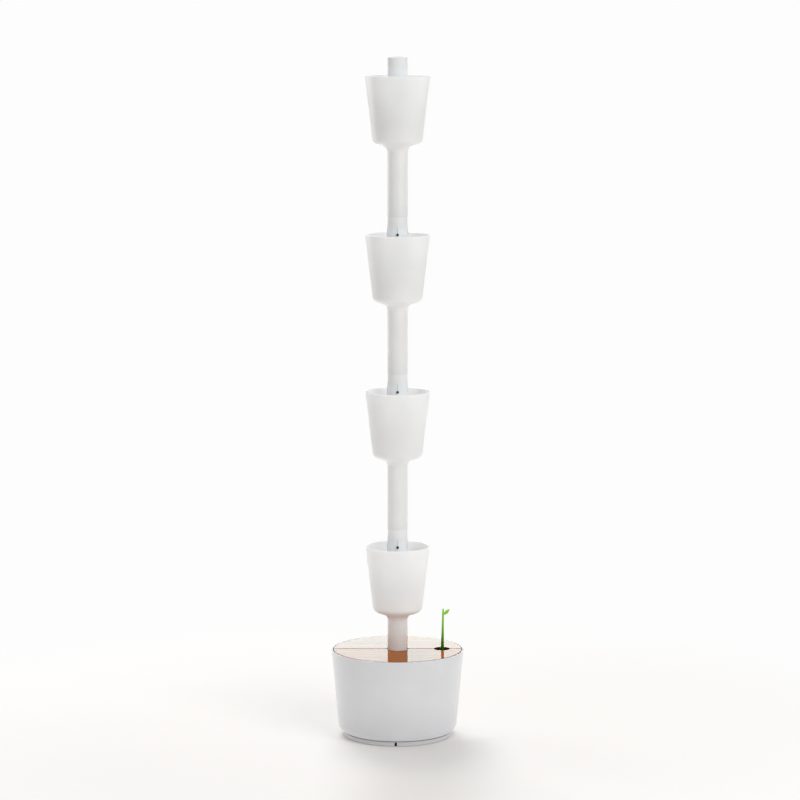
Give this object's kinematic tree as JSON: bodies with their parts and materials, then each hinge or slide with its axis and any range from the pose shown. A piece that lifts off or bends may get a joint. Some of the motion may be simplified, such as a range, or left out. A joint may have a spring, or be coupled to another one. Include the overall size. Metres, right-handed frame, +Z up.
{
  "type": "vertical planter",
  "caption": "Tall self-watering planter: a stack of tapered pots on a hollow stem above a round water tank with a split wooden lid and a sprout-shaped float gauge.",
  "frame": {"origin": "on the floor under the centre of the foot ring, on the stem's axis", "axes": "+Z up along the stem, +X towards the float gauge, -Y towards the front"},
  "size_m": [0.3308, 0.3308, 1.6985],
  "materials": {
    "pot_plastic": "satin white moulded plastic",
    "sleeve_plastic": "satin cool white moulded plastic",
    "tank_plastic": "satin white moulded plastic",
    "foot_plastic": "satin pale grey moulded plastic",
    "lid_wood": "gloss varnished wood",
    "sprout_stem": "green moulded plastic",
    "sprout_leaf": "bright green moulded plastic",
    "black_plastic": "black moulded plastic",
    "grey_plastic": "grey moulded plastic",
    "pipe_plastic": "pale pipe",
    "seal_rubber": "black rubber",
    "screw_steel": "stainless steel",
    "motor_can": "coated steel can",
    "float_foam": "closed foam",
    "board": "circuit board",
    "cell_case": "plain cell sleeve",
    "button_plastic": "soft green button",
    "lead_sheath": "black lead"
  },
  "bodies": {
    "base": {"foot_ring": "foot_plastic", "ring_screws": "screw_steel", "tank": "tank_plastic", "base_socket": "sleeve_plastic", "socket_screws": "screw_steel", "pump_strainer": "black_plastic", "pump_housing": "black_plastic", "pump_motor": "motor_can", "pump_outlet": "black_plastic", "gauge_guide": "grey_plastic", "control_box": "grey_plastic", "box_screws": "screw_steel", "control_seal": "seal_rubber", "control_cover": "grey_plastic", "cover_screws": "screw_steel", "control_board": "board", "batteries": "cell_case", "lead_gland": "black_plastic", "pump_lead": "lead_sheath", "lead_clips": "grey_plastic"},
    "pot_1": {"pot_shell_1": "pot_plastic", "drip_sleeve_1": "sleeve_plastic", "soil_grid_1": "grey_plastic", "stem_seal_1": "seal_rubber", "dripper_1": "black_plastic", "riser_pipe_1": "pipe_plastic", "riser_spider_1": "grey_plastic"},
    "pot_2": {"pot_shell_2": "pot_plastic", "drip_sleeve_2": "sleeve_plastic", "soil_grid_2": "grey_plastic", "stem_seal_2": "seal_rubber", "dripper_2": "black_plastic", "riser_pipe_2": "pipe_plastic", "riser_spider_2": "grey_plastic"},
    "pot_3": {"pot_shell_3": "pot_plastic", "drip_sleeve_3": "sleeve_plastic", "soil_grid_3": "grey_plastic", "stem_seal_3": "seal_rubber", "dripper_3": "black_plastic", "riser_pipe_3": "pipe_plastic", "riser_spider_3": "grey_plastic"},
    "pot_4": {"pot_shell_4": "pot_plastic", "drip_sleeve_4": "sleeve_plastic", "soil_grid_4": "grey_plastic", "stem_seal_4": "seal_rubber", "dripper_4": "black_plastic", "riser_pipe_4": "pipe_plastic", "riser_spider_4": "grey_plastic", "riser_plug": "black_plastic"},
    "cap": {"top_cap": "sleeve_plastic"},
    "front_lid": {"lid_front": "lid_wood"},
    "rear_lid": {"lid_rear": "lid_wood"},
    "gauge": {"gauge_float": "float_foam", "gauge_stem": "sprout_stem", "gauge_leaf": "sprout_leaf"},
    "button": {"start_button": "button_plastic"},
    "impeller": {"pump_impeller": "grey_plastic"}
  },
  "joints": [
    {"name": "pot_1_turn", "type": "hinge", "parent": "base", "child": "pot_1", "pos_m": [0, 0, 0.134], "axis": [0, 0, 1], "continuous": true},
    {"name": "pot_2_turn", "type": "hinge", "parent": "pot_1", "child": "pot_2", "pos_m": [0, 0, 0.524], "axis": [0, 0, 1], "continuous": true},
    {"name": "pot_3_turn", "type": "hinge", "parent": "pot_2", "child": "pot_3", "pos_m": [0, 0, 0.914], "axis": [0, 0, 1], "continuous": true},
    {"name": "pot_4_turn", "type": "hinge", "parent": "pot_3", "child": "pot_4", "pos_m": [0, 0, 1.304], "axis": [0, 0, 1], "continuous": true},
    {"name": "cap_lift", "type": "slide", "parent": "pot_4", "child": "cap", "axis": [0, 0, 1], "range_m": [0, 0.03]},
    {"name": "lid_front_lift", "type": "slide", "parent": "base", "child": "front_lid", "axis": [0, 0, 1], "range_m": [0, 0.06]},
    {"name": "lid_rear_lift", "type": "slide", "parent": "base", "child": "rear_lid", "axis": [0, 0, 1], "range_m": [0, 0.06]},
    {"name": "gauge_rise", "type": "slide", "parent": "base", "child": "gauge", "axis": [0, 0, 1], "range_m": [-0.09, 0]},
    {"name": "button_press", "type": "slide", "parent": "base", "child": "button", "axis": [0, 0, 1], "range_m": [-0.0015, 0], "stiffness_N_per_m": 800},
    {"name": "impeller_spin", "type": "hinge", "parent": "base", "child": "impeller", "pos_m": [0, 0, 0.03], "axis": [0, 0, 1], "continuous": true}
  ]
}
